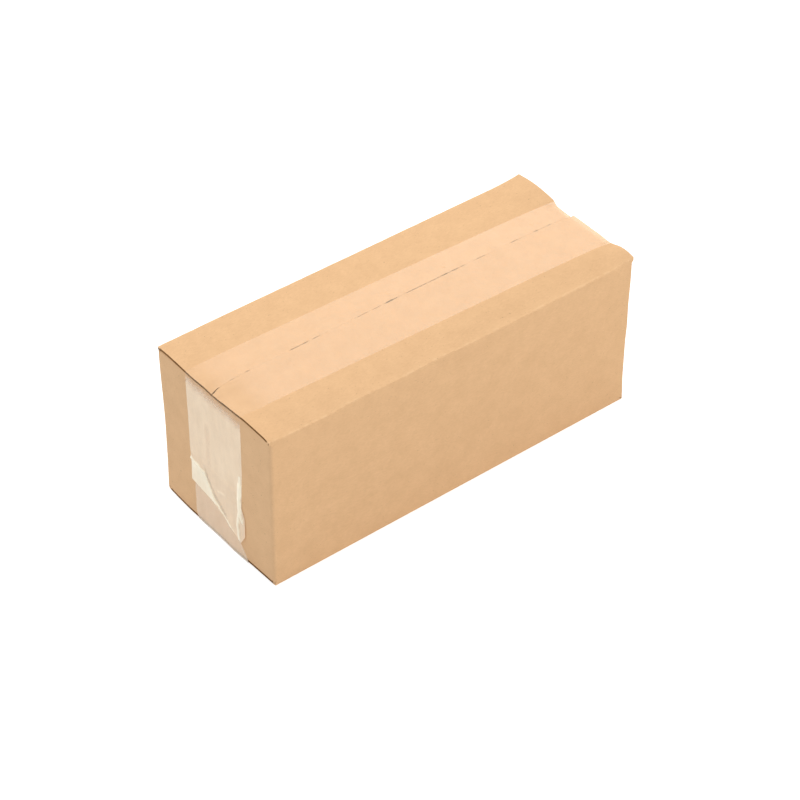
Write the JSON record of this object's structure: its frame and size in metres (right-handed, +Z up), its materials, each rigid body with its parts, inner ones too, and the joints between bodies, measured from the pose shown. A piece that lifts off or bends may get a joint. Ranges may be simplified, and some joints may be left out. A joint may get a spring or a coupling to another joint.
{
  "type": "closed cardboard box",
  "caption": "Long closed shipping carton of single wall corrugated board, folded from one sheet and sealed with clear packing tape above and below.",
  "frame": {"origin": "centre of the footprint, on the surface that the box stands on", "axes": "+X along the length towards the right end, +Y towards the back, +Z up"},
  "size_m": [0.2578, 0.1012, 0.1071],
  "materials": {
    "board": "plain brown kraft corrugated board, matte",
    "tape": "clear polypropylene packing tape, hazy over the board"
  },
  "bodies": {
    "root": {"carton": "board", "top_tape": "tape", "bottom_tape": "tape"}
  },
  "joints": []
}
